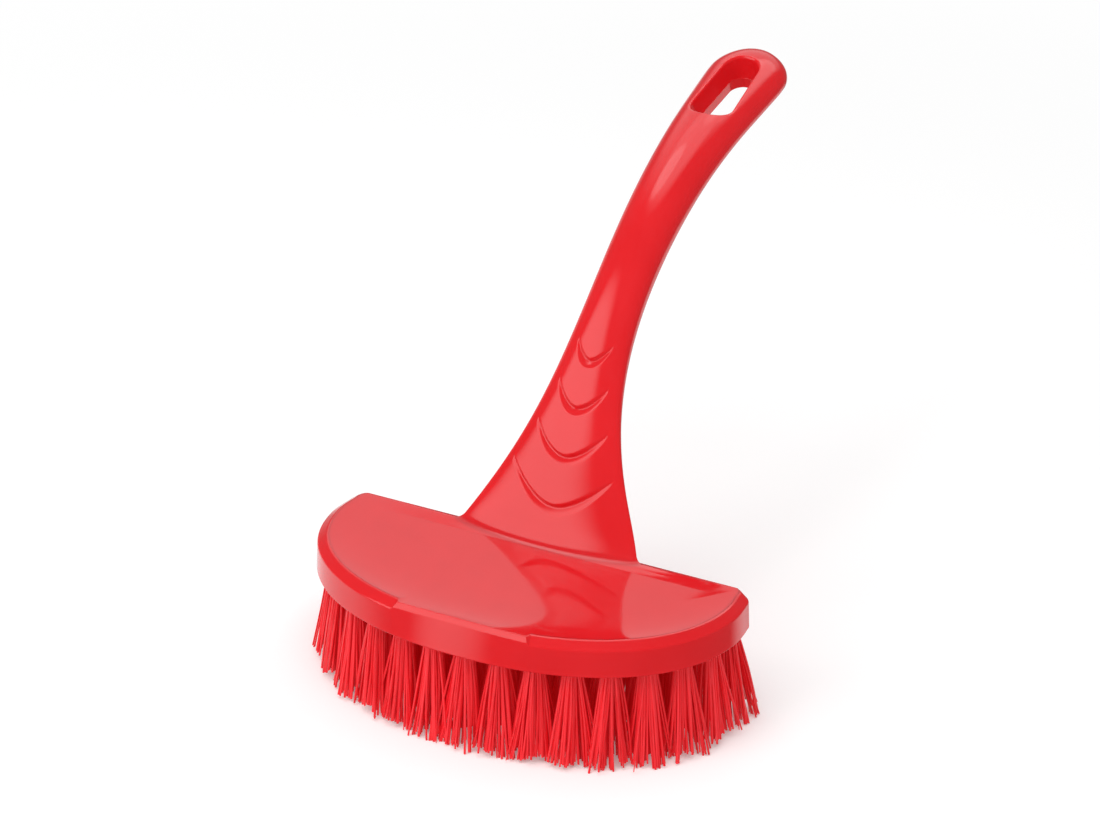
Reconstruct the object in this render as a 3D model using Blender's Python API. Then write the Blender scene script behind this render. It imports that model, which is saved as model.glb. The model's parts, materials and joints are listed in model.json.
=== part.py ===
# Sink brush: head and handle in one moulding, with tufts of bristles seated in rows of holes
import math
import random

import bmesh
import bpy
from mathutils import Matrix, Vector

# Head: an outline rounded at the front and cut straight at the back, in metres
head_width = 0.1512
head_front_depth = 0.0543
head_centre_setback = 0.0089
head_height = 0.0118
outline_power = 2.2
rear_corner_radius = 0.0040
rear_taper = 0.0009
rear_taper_length = 0.014
wall_draft = 0.0004
chamfer_width = 0.0034
chamfer_height = 0.0024
top_corner_radius = 0.0032
outline_steps = 64
corner_steps = 5

# Straight lip across the middle of the front edge
lip_width = 0.049
lip_run = 0.0012
lip_height = 0.0015
lip_step = 0.0012

# Handle: its line rises from the rear edge, bends back and runs straight into the grip
handle_length = 0.1890
foot_lean = math.radians(26.0)
bend_angle = math.radians(50.9)
bend_start = 0.0096
bend_end = 0.1739
bend_ease = 0.018
handle_foot_setback = 0.0006
heel_reach = 0.0024
heel_length = 0.006
foot_upright_length = 0.016
line_step = 0.001

# Handle: half widths along the line, drawn as two curves that meet at the neck
foot_half_width = 0.0328
neck_half_width = 0.0098
grip_half_width = 0.0143
neck_place = 0.092
grip_place = 0.186
foot_curve_share = 0.28
foot_slope_share = 0.59
neck_before_share = 0.52
neck_after_share = 0.29
grip_before_share = 0.31
grip_slope_share = 0.37
curve_steps = 24

# Handle: depth of its section in front of and behind the widest line
foot_crown = 0.0051
face_crown = 0.0042
grip_crown = 0.0078
crown_fade_length = 0.010
crown_rise_start = 0.030
crown_rise_length = 0.120
foot_arc_share = 0.72
grip_arc_share = 0.30
arc_fade_length = 0.045
foot_back = 0.0004
neck_back = 0.0056
grip_back = 0.0044
back_rise_length = 0.022
back_fall_start = 0.090
back_fall_length = 0.050
foot_power = 2.0
grip_power = 2.5
power_rise_length = 0.060
face_power = 3.2
face_power_end = 0.090
face_power_fade_length = 0.060
foot_fillet = 0.0018
fillet_steps = 4
handle_rings = 44
handle_sides = 40
ring_crowding = 1.3
cap_rings = 7
cap_turn = math.radians(82)
cap_thickness_power = 0.7
foot_sink = 0.004
rear_inset = 0.0002

# Four crescent grooves on the handle's face, the widest at the bottom
groove_count = 4
groove_first_place = 0.0105
groove_pitch = 0.0160
groove_half_span = 0.0186
groove_span_ratio = 0.70
groove_sag = 0.0126
groove_sag_loss = 0.0021
groove_curve_power = 1.9
groove_radius = 0.0019
groove_lift_share = 0.12
groove_tip_share = 0.42
groove_steps = 14

# Hanging slot: a pocket in the front of the grip over a smaller hole right through
slot_end_wall = 0.0110
slot_length = 0.0350
slot_width = 0.0150
slot_taper = 0.0042
slot_corner_radius = 0.0056
slot_pocket_depth = 0.0098
slot_ledge = 0.0013
slot_corner_steps = 6
slot_place = handle_length + grip_half_width - slot_end_wall - slot_length / 2

# Bristles: tufts in rows that follow the head's outline, each rooted in its own hole
bristle_length = 0.034
edge_inset = 0.0065
row_pitch = 0.0125
tuft_pitch = 0.0120
curved_rows = 4
root_radius = 0.0026
root_depth = 0.0090
root_show = 0.0006
hole_clearance = 0.0003
root_sides = 10
strands_around = 7
strand_sides = 3
strand_radius = 0.00052
strand_root_radius = 0.00175
strand_tip_spread = 0.0051
strand_spread_loss = 0.0009
strand_sink = 0.0012
strand_short = 0.0024
tuft_lean = 0.0042
tuft_rear_lean = 0.0034
row_lean_shares = (1.0, 0.66, 0.38, 0.16, 0.0)
strand_twist = math.radians(6)
path_samples = 400

# Edges sharper than this stay crisp in the shading
sharp_angle = math.radians(35)

# One length by which every cutter runs past what it cuts
overrun = 0.002

tau = 2 * math.pi


def smooth(t):
    t = min(max(t, 0.0), 1.0)
    return t * t * (3 - 2 * t)


def signed_power(value, power):
    return math.copysign(abs(value) ** power, value)


def collection(name):
    made = bpy.data.collections.new(name)
    bpy.context.scene.collection.children.link(made)
    return made


def plastic(name, colour, roughness):
    material = bpy.data.materials.new(name)
    material.use_nodes = True
    shader = material.node_tree.nodes["Principled BSDF"]
    shader.inputs["Base Color"].default_value = (*colour, 1.0)
    shader.inputs["Roughness"].default_value = roughness
    shader.inputs["Metallic"].default_value = 0.0
    material.diffuse_color = (*colour, 1.0)
    return material


def add_object(name, mesh, group, material=None):
    made = bpy.data.objects.new(name, mesh)
    group.objects.link(made)
    if material:
        mesh.materials.append(material)
    return made


def hide_cutter(cutter):
    cutter.hide_render = True
    cutter.display_type = 'WIRE'


def loft(name, rings):
    # A closed skin over rings with the same number of points, with a flat face at each end
    bm = bmesh.new()
    made = [[bm.verts.new(point) for point in ring] for ring in rings]
    count = len(rings[0])
    for low, high in zip(made[:-1], made[1:]):
        for i in range(count):
            j = (i + 1) % count
            bm.faces.new((low[i], low[j], high[j], high[i]))
    bm.faces.new(list(reversed(made[0])))
    bm.faces.new(made[-1])
    bmesh.ops.recalc_face_normals(bm, faces=bm.faces)
    # The skin's four-sided faces are twisted a little, so they are split in a steady way
    bmesh.ops.triangulate(bm, faces=bm.faces, quad_method='FIXED')
    mesh = bpy.data.meshes.new(name)
    bm.to_mesh(mesh)
    bm.free()
    return mesh


def shade(mesh, angle):
    mesh.shade_smooth()
    mesh.set_sharp_from_angle(angle=angle)


def boolean(target, operation, cutter=None, group=None):
    modifier = target.modifiers.new(operation.lower(), 'BOOLEAN')
    modifier.operation = operation
    modifier.solver = 'EXACT'
    if group:
        modifier.operand_type = 'COLLECTION'
        modifier.collection = group
    else:
        modifier.object = cutter


# Head

def outline_point(angle, inset=0.0):
    half_width = head_width / 2 - inset
    depth = head_front_depth - inset
    x = half_width * signed_power(math.cos(angle), 2 / outline_power)
    y = -head_centre_setback - depth * signed_power(math.sin(angle), 2 / outline_power)
    return x, y


def side_angle(y, inset=0.0):
    # Where the outline crosses the line y, behind its centre or in front of it
    reach = (-head_centre_setback - y) / (head_front_depth - inset)
    return math.asin(signed_power(reach, outline_power / 2))


def rear_inward(y):
    # How far the sides draw in towards the rear corners
    return rear_taper * smooth(1 + y / rear_taper_length)


def head_outline(inset, corner):
    # Right rear corner, then round the front, then the left rear corner
    start = side_angle(-corner)
    centre_x = outline_point(start, inset + rear_inward(-corner))[0] - corner
    points = []
    for i in range(corner_steps):
        turn = math.pi / 2 * (1 - i / corner_steps)
        points.append((centre_x + corner * math.cos(turn), corner * (math.sin(turn) - 1)))
    lip_x = lip_width / 2
    breaks = [lip_x + lip_step, lip_x, -lip_x, -lip_x - lip_step]
    angles = [start + (math.pi - 2 * start) * i / outline_steps for i in range(outline_steps + 1)]
    for x in breaks:
        share = signed_power(x / (head_width / 2), outline_power / 2)
        angle = math.acos(share)
        nearest = min(range(len(angles)), key=lambda k: abs(angles[k] - angle))
        angles[nearest] = angle
    for angle in angles:
        y = outline_point(angle)[1]
        points.append(outline_point(angle, inset + rear_inward(y)))
    for i in range(1, corner_steps + 1):
        turn = math.pi / 2 * (2 - i / corner_steps)
        points.append((-centre_x + corner * math.cos(turn), corner * (math.sin(turn) - 1)))
    return points


def on_lip(x, y):
    return abs(x) <= lip_width / 2 + wall_draft and y < -head_centre_setback


def head_mesh():
    bottom = head_outline(0.0, rear_corner_radius)
    foot = head_outline(wall_draft, rear_corner_radius)
    top = head_outline(wall_draft + chamfer_width, top_corner_radius)
    lip_y = -(head_centre_setback + head_front_depth - wall_draft - chamfer_width)
    high = bristle_length + head_height
    foot = [(x, lip_y - lip_run, high - lip_height) if on_lip(*bottom[i]) else (x, y, high - chamfer_height)
            for i, (x, y) in enumerate(foot)]
    top = [(x, lip_y, high) if on_lip(*bottom[i]) else (x, y, high) for i, (x, y) in enumerate(top)]
    return loft("head", [[(x, y, bristle_length) for x, y in bottom], foot, top])


# Handle

def handle_line():
    # Places and leans along the line, from its foot on the head's top to the grip's end
    turning = bend_angle / (bend_end - bend_start - bend_ease)
    steps = round((handle_length + grip_half_width) / line_step)
    y = -handle_foot_setback
    z = bristle_length + head_height
    lean = foot_lean
    points = [(0.0, y, z, lean)]
    for i in range(steps):
        place = (i + 0.5) * line_step
        rise = min(max((place - bend_start) / bend_ease, 0.0), 1.0)
        fall = min(max((bend_end - place) / bend_ease, 0.0), 1.0)
        half_turn = turning * min(rise, fall) * line_step / 2
        lean += half_turn
        y += math.sin(lean) * line_step
        z += math.cos(lean) * line_step
        lean += half_turn
        travelled = (i + 1) * line_step
        heel = heel_reach * (1 - math.exp(-travelled / heel_length))
        points.append((travelled, y + heel, z, lean))
    return points


line_points = handle_line()


def on_line(place):
    i = min(max(int(place / line_step), 0), len(line_points) - 2)
    share = place / line_step - i
    first = line_points[i]
    second = line_points[i + 1]
    return [a + (b - a) * share for a, b in zip(first, second)][1:]


def curve_points(start, start_handle, end_handle, end):
    points = []
    for i in range(curve_steps + 1):
        t = i / curve_steps
        u = 1 - t
        points.append([u ** 3 * a + 3 * u * u * t * b + 3 * u * t * t * c + t ** 3 * d
                       for a, b, c, d in zip(start, start_handle, end_handle, end)])
    return points


def side_curve():
    # The handle's half width against the distance along its line
    fall = foot_half_width - neck_half_width
    rise = grip_half_width - neck_half_width
    beyond = grip_place - neck_place
    lower = curve_points((0.0, foot_half_width),
                         (neck_place * foot_curve_share, foot_half_width - fall * foot_slope_share),
                         (neck_place * (1 - neck_before_share), neck_half_width),
                         (neck_place, neck_half_width))
    upper = curve_points((neck_place, neck_half_width),
                         (neck_place + beyond * neck_after_share, neck_half_width),
                         (grip_place - beyond * grip_before_share, grip_half_width - rise * grip_slope_share),
                         (grip_place, grip_half_width))
    return lower + upper[1:]


side_points = side_curve()


def half_width(place):
    for low, high in zip(side_points[:-1], side_points[1:]):
        if place <= high[0]:
            share = (place - low[0]) / (high[0] - low[0])
            return low[1] + (high[1] - low[1]) * share
    return side_points[-1][1]


def crown(place):
    foot = (foot_crown - face_crown) * math.exp(-place / crown_fade_length)
    rise = (grip_crown - face_crown) * smooth((place - crown_rise_start) / crown_rise_length)
    return face_crown + foot + rise


def back(place):
    foot = (neck_back - foot_back) * (1 - math.exp(-place / back_rise_length))
    fall = (neck_back - grip_back) * smooth((place - back_fall_start) / back_fall_length)
    return foot_back + foot - fall


def back_power(place):
    return foot_power + (grip_power - foot_power) * smooth(place / power_rise_length)


def front_power(place):
    return face_power + (grip_power - face_power) * smooth((place - face_power_end) / face_power_fade_length)


def front_depth(share, place):
    # The face is a shallow arc between rounded edges, so its depth has a part of each
    power = front_power(place)
    edge = (1 - share ** power) ** (1 / power)
    arc_share = grip_arc_share + (foot_arc_share - grip_arc_share) * math.exp(-place / arc_fade_length)
    return crown(place) * (arc_share * (1 - share * share) + (1 - arc_share) * edge)


def section_lean(place, lean):
    # The section lies flat on the head at the foot and square to the line further up
    return lean * smooth(place / foot_upright_length)


def handle_ring(place, width_share=1.0, depth_share=1.0, flare=0.0):
    y, z, lean = on_line(place)
    tilt = section_lean(place, lean)
    width = half_width(place) * width_share + flare
    ring = []
    for i in range(handle_sides):
        turn = tau * i / handle_sides
        out = math.sin(turn)
        if out > 0:
            share = signed_power(math.cos(turn), 2 / front_power(place))
            depth = front_depth(abs(share), place) * depth_share + flare * out ** (2 / front_power(place))
        else:
            share = signed_power(math.cos(turn), 2 / back_power(place))
            depth = -back(place) * depth_share * abs(out) ** (2 / back_power(place))
        ring.append((width * share, y - math.cos(tilt) * depth, z + math.sin(tilt) * depth))
    return ring


def face_point(across, place, lift=0.0):
    # A point on the handle's front, or above it by a lift
    y, z, lean = on_line(place)
    tilt = section_lean(place, lean)
    depth = front_depth(min(abs(across) / half_width(place), 1.0), place) + lift
    return Vector((across, y - math.cos(tilt) * depth, z + math.sin(tilt) * depth))


def handle_mesh():
    base = handle_ring(0.0, flare=foot_fillet)
    base = [(x, min(y, -rear_inset), z) for x, y, z in base]
    rings = [[(x, y, z - foot_sink) for x, y, z in base], base]
    for i in range(1, fillet_steps):
        turn = math.pi / 2 * i / fillet_steps
        rise = foot_fillet * (1 - math.cos(turn))
        flare = foot_fillet * (1 - math.sin(turn))
        rings.append(handle_ring(rise, flare=flare))
    for i in range(handle_rings + 1):
        share = (i / handle_rings) ** ring_crowding
        rings.append(handle_ring(foot_fillet + (handle_length - foot_fillet) * share))
    for i in range(1, cap_rings + 1):
        turn = cap_turn * i / cap_rings
        share = math.cos(turn)
        place = handle_length + grip_half_width * math.sin(turn)
        rings.append(handle_ring(place, share, share ** cap_thickness_power))
    return loft("handle", rings)


def groove_cutter(index, group):
    # A tube along a crescent, sunk in the face and thinner towards its ends
    span = groove_half_span * groove_span_ratio ** index
    low = groove_first_place + groove_pitch * index
    sag = groove_sag - groove_sag_loss * index
    curve = bpy.data.curves.new("groove_curve", 'CURVE')
    curve.dimensions = '3D'
    curve.bevel_depth = groove_radius
    curve.bevel_resolution = 1
    curve.use_fill_caps = True
    spline = curve.splines.new('POLY')
    spline.points.add(groove_steps)
    for i in range(groove_steps + 1):
        u = 2 * i / groove_steps - 1
        place = low + sag * abs(u) ** groove_curve_power
        fullness = groove_tip_share + (1 - groove_tip_share) * (1 - u * u)
        lift = groove_radius * fullness * groove_lift_share
        spline.points[i].co = (*face_point(span * u, place, lift), 1.0)
        spline.points[i].radius = fullness
    drawn = bpy.data.objects.new("groove_line", curve)
    bpy.context.scene.collection.objects.link(drawn)
    bpy.context.view_layer.update()
    graph = bpy.context.evaluated_depsgraph_get()
    mesh = bpy.data.meshes.new_from_object(drawn.evaluated_get(graph))
    bm = bmesh.new()
    bm.from_mesh(mesh)
    bmesh.ops.remove_doubles(bm, verts=bm.verts, dist=groove_radius * groove_tip_share / groove_steps)
    bmesh.ops.recalc_face_normals(bm, faces=bm.faces)
    bm.to_mesh(mesh)
    bm.free()
    bpy.data.objects.remove(drawn)
    hide_cutter(add_object("groove_cutter_%d" % (index + 1), mesh, group))


def slot_outline(length, width, corner):
    # Wider at the end near the neck than at the far end
    points = []
    for sign_x, sign_y, start in ((1, 1, 0), (-1, 1, 1), (-1, -1, 2), (1, -1, 3)):
        for i in range(slot_corner_steps + 1):
            turn = math.pi / 2 * (start + i / slot_corner_steps)
            along = sign_y * (length / 2 - corner) + corner * math.sin(turn)
            across = sign_x * (width / 2 - corner) + corner * math.cos(turn)
            points.append((across * (1 - slot_taper / width * along / length), along))
    return points


def slot_cutter(group):
    # One stepped solid, square to the handle's line: the hole right through, then the wider pocket
    y, z, lean = on_line(slot_place)
    frame = Matrix(((1, 0, 0, 0),
                    (0, math.sin(lean), -math.cos(lean), y),
                    (0, math.cos(lean), math.sin(lean), z),
                    (0, 0, 0, 1)))
    front = crown(slot_place)
    floor = front - slot_pocket_depth
    rings = []
    for shrink, depth in ((slot_ledge, -back(slot_place) - overrun), (slot_ledge, floor),
                          (0.0, floor), (0.0, front + overrun)):
        outline = slot_outline(slot_length - 2 * shrink, slot_width - 2 * shrink, slot_corner_radius - shrink)
        rings.append([frame @ Vector((a, b, depth)) for a, b in outline])
    hide_cutter(add_object("slot_cutter", loft("slot_cutter", rings), group))


# Tufts

def row_path(inset):
    # A row's curve, from the rear left to the rear right, with the distance along it
    start = side_angle(-edge_inset, inset)
    path = []
    travelled = 0.0
    for i in range(path_samples + 1):
        angle = math.pi - start - (math.pi - 2 * start) * i / path_samples
        point = Vector(outline_point(angle, inset))
        if path:
            travelled += (point - path[-1][1]).length
        path.append((travelled, point))
    return path


def row_places(row):
    # Tuft places and outward directions along one row
    if row == curved_rows:
        ends = abs(row_path(edge_inset + row_pitch * (curved_rows - 1))[0][1].x) - tuft_pitch
        count = round(2 * ends / tuft_pitch) + 1
        return [(Vector((-ends + 2 * ends * i / (count - 1), -edge_inset)), Vector((0, 1)))
                for i in range(count)]
    path = row_path(edge_inset + row_pitch * row)
    length = path[-1][0]
    count = round(length / tuft_pitch) + 1
    places = []
    for i in range(count):
        target = length * i / (count - 1)
        k = max(1, next((n for n, p in enumerate(path) if p[0] >= target), path_samples))
        before, low = path[k - 1]
        after, high = path[k]
        along = (high - low).normalized()
        places.append((low.lerp(high, (target - before) / (after - before)), Vector((along.y, -along.x))))
    return places


def tuft_lean_at(row, point, outward):
    lean = outward * tuft_lean * row_lean_shares[row]
    rear = smooth(1 - (-edge_inset - point.y) / row_pitch)
    return lean + Vector((0, tuft_rear_lean * rear))


def root_matrix(point, lean):
    # The root's axis points from the bristles' tips up into the head
    axis = Vector((-lean.x, -lean.y, bristle_length)).normalized()
    turn = Vector((0, 0, 1)).rotation_difference(axis).to_matrix().to_4x4()
    return Matrix.Translation(Vector((point.x, point.y, bristle_length))) @ turn


def cylinder_mesh(name, radius, low, high, matrix):
    bm = bmesh.new()
    lift = Matrix.Translation(Vector((0, 0, (low + high) / 2)))
    bmesh.ops.create_cone(bm, cap_ends=True, segments=root_sides, radius1=radius, radius2=radius,
                          depth=high - low, matrix=matrix @ lift)
    mesh = bpy.data.meshes.new(name)
    bm.to_mesh(mesh)
    bm.free()
    return mesh


def strand_rings(root, tip):
    # The ends are level, so that the tips stand flat
    turn = math.atan2(tip.y - root.y, tip.x - root.x)
    turns = [turn + tau * i / strand_sides for i in range(strand_sides)]
    offsets = [Vector((strand_radius * math.cos(t), strand_radius * math.sin(t), 0)) for t in turns]
    return [[centre + offset for offset in offsets] for centre in (root, tip)]


def strands_mesh(name, point, lean, matrix, chance, side):
    # The side is 1 or -1, so that tufts right of the middle mirror those left of it
    bm = bmesh.new()
    up = matrix.to_3x3() @ Vector((0, 0, 1))
    foot = Vector((point.x, point.y, bristle_length)) + up * (strand_sink - root_show)
    tip_centre = Vector((point.x + lean.x, point.y + lean.y, 0))
    start = chance.uniform(0, tau)
    for i in range(strands_around + 1):
        middle = i == strands_around
        turn = start + tau * i / strands_around
        tip_turn = turn + chance.uniform(-strand_twist, strand_twist)
        root_reach = 0.0 if middle else strand_root_radius
        tip_reach = 0.0 if middle else strand_tip_spread - chance.uniform(0, strand_spread_loss)
        short = 0.0 if i % 2 else chance.uniform(0, strand_short)
        root = foot + Vector((side * math.cos(turn), math.sin(turn), 0)) * root_reach
        tip = tip_centre + Vector((side * math.cos(tip_turn), math.sin(tip_turn), 0)) * tip_reach
        tip = tip + (root - tip) * (short / bristle_length)
        rings = strand_rings(root, tip)
        made = [[bm.verts.new(p) for p in ring] for ring in rings]
        for a in range(strand_sides):
            b = (a + 1) % strand_sides
            bm.faces.new((made[0][a], made[0][b], made[1][b], made[1][a]))
        bm.faces.new(list(reversed(made[0])))
        bm.faces.new(made[1])
    bmesh.ops.recalc_face_normals(bm, faces=bm.faces)
    mesh = bpy.data.meshes.new(name)
    bm.to_mesh(mesh)
    bm.free()
    return mesh


def make_tuft(row, index, count, point, outward, parts, cutters, cuts, material):
    name = "tuft_row%d_%02d" % (row + 1, index + 1)
    from_right = count - 1 - index
    chance = random.Random(row * path_samples + min(index, from_right))
    side = -1 if index > from_right else 1
    lean = tuft_lean_at(row, point, outward)
    matrix = root_matrix(point, lean)
    root = cylinder_mesh(name, root_radius, -root_show, root_depth, matrix)
    tuft = add_object(name, root, parts, material)
    strands_name = name + "_strands"
    strands = add_object(strands_name, strands_mesh(strands_name, point, lean, matrix, chance, side), cutters)
    hide_cutter(strands)
    boolean(tuft, 'UNION', strands)
    hole = cylinder_mesh(name + "_hole", root_radius + hole_clearance, -overrun,
                         root_depth + hole_clearance, matrix)
    hide_cutter(add_object(name + "_hole", hole, cuts))
    return tuft


def main():
    for old in list(bpy.data.objects):
        bpy.data.objects.remove(old, do_unlink=True)
    parts = collection("sink_brush")
    cutters = collection("cutters")
    cuts = collection("body_cutters")
    body_red = plastic("gloss_red_plastic", (0.62, 0.008, 0.012), 0.12)
    bristle_red = plastic("red_bristle", (0.60, 0.010, 0.014), 0.35)

    body = add_object("brush_body", head_mesh(), parts, body_red)
    handle = add_object("handle_solid", handle_mesh(), cutters)
    hide_cutter(handle)
    boolean(body, 'UNION', handle)
    for i in range(groove_count):
        groove_cutter(i, cuts)
    slot_cutter(cuts)
    tufts = []
    for row in range(curved_rows + 1):
        places = row_places(row)
        for index, (point, outward) in enumerate(places):
            tufts.append(make_tuft(row, index, len(places), point, outward, parts, cutters, cuts, bristle_red))
    # The grooves, the slot and the holes are cut in one go, which leaves the cleanest edges
    boolean(body, 'DIFFERENCE', group=cuts)
    for made in [body] + tufts:
        shade(made.data, sharp_angle)

    # The whole part stands with the middle of its footprint on the origin
    origin = bpy.data.objects.new("brush_origin", None)
    parts.objects.link(origin)
    bpy.context.view_layer.update()
    graph = bpy.context.evaluated_depsgraph_get()
    corners = [Vector(corner) for made in [body] + tufts for corner in made.evaluated_get(graph).bound_box]
    middle = (min(c.y for c in corners) + max(c.y for c in corners)) / 2
    for made in list(bpy.data.objects):
        if made is not origin:
            made.parent = origin
    origin.location = (0, -middle, 0)
    bpy.context.view_layer.update()
    print("tufts", len(tufts), "strands", len(tufts) * (strands_around + 1))
    print("rear edge at y %.5f" % -middle)


main()
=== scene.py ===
import json
import math
import random

import bpy
import numpy as np
from mathutils import Matrix, Vector


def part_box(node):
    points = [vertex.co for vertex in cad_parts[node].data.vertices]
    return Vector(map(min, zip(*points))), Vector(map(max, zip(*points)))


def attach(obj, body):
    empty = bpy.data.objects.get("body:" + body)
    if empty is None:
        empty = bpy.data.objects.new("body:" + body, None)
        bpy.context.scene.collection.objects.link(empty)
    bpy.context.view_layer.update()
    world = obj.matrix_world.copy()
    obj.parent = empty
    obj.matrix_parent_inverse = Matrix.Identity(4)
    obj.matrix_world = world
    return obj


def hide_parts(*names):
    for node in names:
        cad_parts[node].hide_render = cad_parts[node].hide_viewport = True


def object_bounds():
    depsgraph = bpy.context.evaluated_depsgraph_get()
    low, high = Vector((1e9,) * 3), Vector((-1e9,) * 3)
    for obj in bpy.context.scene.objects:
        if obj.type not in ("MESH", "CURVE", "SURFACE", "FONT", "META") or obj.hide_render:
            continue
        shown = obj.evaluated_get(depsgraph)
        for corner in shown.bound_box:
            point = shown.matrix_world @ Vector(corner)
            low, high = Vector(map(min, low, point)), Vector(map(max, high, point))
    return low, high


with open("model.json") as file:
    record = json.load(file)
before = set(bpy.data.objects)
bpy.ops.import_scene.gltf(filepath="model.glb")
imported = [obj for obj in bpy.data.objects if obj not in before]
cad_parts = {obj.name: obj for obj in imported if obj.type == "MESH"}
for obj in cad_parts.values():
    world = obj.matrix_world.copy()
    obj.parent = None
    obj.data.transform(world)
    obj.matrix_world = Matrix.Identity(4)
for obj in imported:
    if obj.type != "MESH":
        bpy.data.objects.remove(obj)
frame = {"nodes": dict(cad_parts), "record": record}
cadBox = [list(corner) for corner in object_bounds()]
print("Frame loaded with", len(frame["nodes"]), "nodes")

mounts = {mount["name"]: mount["pos_m"] for mount in frame["record"]["mounts"]}
headTop = mounts["head_top"][2]
rearEdge = mounts["head_rear_wall"][1]
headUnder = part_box("brush_body")[0].z


# Small tools

weldDistance = 0.000002


def deselectAll():
    bpy.ops.object.select_all(action='DESELECT')


def startOn(obj):
    deselectAll()
    obj.select_set(True)
    bpy.context.view_layer.objects.active = obj


def signedPower(value, power):
    return np.sign(value) * np.abs(value) ** power


def smooth(t):
    t = np.clip(t, 0.0, 1.0)
    return t * t * (3 - 2 * t)


def placeVertices(obj, points):
    obj.data.vertices.foreach_set("co", np.asarray(points, np.float32).ravel())
    obj.data.update()


def rolledGrid(name, rings):
    # A flat grid whose columns go round each ring, welded along its seam and closed at both ends
    rows, around = rings.shape[0], rings.shape[1]
    deselectAll()
    bpy.ops.mesh.primitive_grid_add(x_subdivisions=around, y_subdivisions=rows - 1, size=1)
    obj = bpy.context.object
    obj.name = name
    wrapped = np.concatenate([rings, rings[:, :1]], axis=1)
    placeVertices(obj, wrapped.reshape(-1, 3))
    bpy.ops.object.mode_set(mode='EDIT')
    bpy.ops.mesh.select_all(action='SELECT')
    bpy.ops.mesh.remove_doubles(threshold=weldDistance)
    bpy.ops.mesh.fill_holes(sides=0)
    bpy.ops.mesh.select_all(action='SELECT')
    bpy.ops.mesh.normals_make_consistent(inside=False)
    bpy.ops.object.mode_set(mode='OBJECT')
    return obj


def combine(obj, other, operation):
    # An exact cut or join, after which the second solid is gone
    startOn(obj)
    bpy.ops.object.modifier_add(type='BOOLEAN')
    cut = obj.modifiers[-1]
    cut.operation = operation
    cut.solver = 'EXACT'
    cut.object = other
    bpy.ops.object.modifier_apply(modifier=cut.name)
    bpy.data.objects.remove(other, do_unlink=True)


def bend(before, corner, after, radius, steps):
    # Rounds the corner of every column of points with a short curve
    toBefore = before - corner
    toAfter = after - corner
    toBefore /= np.linalg.norm(toBefore, axis=1, keepdims=True)
    toAfter /= np.linalg.norm(toAfter, axis=1, keepdims=True)
    start = corner + toBefore * radius
    end = corner + toAfter * radius
    shares = np.linspace(0, 1, steps + 1)[:, None, None]
    return (1 - shares) ** 2 * start + 2 * shares * (1 - shares) * corner + shares ** 2 * end


def wayTo(azimuth, elevation):
    # The direction from the brush to a place that far round from the front, and that far up
    return Vector((math.sin(azimuth) * math.cos(elevation), -math.cos(azimuth) * math.cos(elevation),
                   math.sin(elevation)))


# Camera, at the photograph's angle

cameraSettings = {
    "azimuth": 28.06,
    "elevation": 27.15,
    "distance": 1.3212,
    "across": 0.00032,
    "up": 0.05212,
    "lens": 130.9,
    "sensorWidth": 36,
    "clipEnd": 50,
}


def addCamera(settings):
    azimuth = math.radians(settings["azimuth"])
    elevation = math.radians(settings["elevation"])
    towards = wayTo(azimuth, elevation)
    right = Vector((math.cos(azimuth), math.sin(azimuth), 0))
    upwards = towards.cross(right)
    place = towards * settings["distance"] + right * settings["across"] + upwards * settings["up"]
    deselectAll()
    bpy.ops.object.camera_add(location=place + Vector((0, rearEdge, headUnder)),
                              rotation=(math.pi / 2 - elevation, 0, azimuth))
    camera = bpy.context.object
    camera.name = "photoCamera"
    camera.data.sensor_width = settings["sensorWidth"]
    camera.data.lens = settings["lens"]
    camera.data.clip_end = settings["clipEnd"]
    bpy.context.scene.camera = camera


addCamera(cameraSettings)
print("Camera placed")


# Head: a block with a bevelled upper edge, which turns into a straight lip at the front

headSettings = {
    "width": 0.1512,
    "frontDepth": 0.0543,
    "centreSetback": 0.0089,
    "power": 2.2,
    "rearCorner": 0.0040,
    "topCorner": 0.0032,
    "rearTaper": 0.0009,
    "rearTaperLength": 0.014,
    "draft": 0.0004,
    "chamferWidth": 0.0034,
    "chamferHeight": 0.0024,
    "lipWidth": 0.049,
    "lipRun": 0.0012,
    "lipHeight": 0.0015,
    "lipEnd": 0.0012,
    "lipFade": 0.0020,
    "lowerRound": 0.0004,
    "chamferRound": 0.0005,
    "lipRound": 0.00035,
    "rimRound": 0.0008,
    "roundSteps": 5,
    "outlineSteps": 260,
    "cornerSteps": 10,
    "hollow": 0.0020,
    "hollowRun": 0.007,
    "hollowRearRun": 0.050,
    "hollowWidth": 0.014,
    "hollowMiddle": 0.030,
    "hollowSpread": 1.4,
    "hollowRings": 20,
    "centreRings": 12,
}


def headPoint(angle, inset):
    s = headSettings
    x = (s["width"] / 2 - inset) * signedPower(np.cos(angle), 2 / s["power"])
    y = -s["centreSetback"] - (s["frontDepth"] - inset) * signedPower(np.sin(angle), 2 / s["power"])
    return x, y


def headAngles():
    # From the right rear corner round the front, with extra places at the lip's ends
    s = headSettings
    reach = (-s["centreSetback"] + s["rearCorner"]) / s["frontDepth"]
    start = math.asin(math.copysign(abs(reach) ** (s["power"] / 2), reach))
    angles = np.linspace(start, math.pi - start, s["outlineSteps"] + 1)
    for x in (s["lipWidth"] / 2 + s["lipEnd"], s["lipWidth"] / 2):
        for side in (1, -1):
            angle = math.acos(side * (x / (s["width"] / 2)) ** (s["power"] / 2))
            angles[np.argmin(abs(angles - angle))] = angle
    return start, angles


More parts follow.
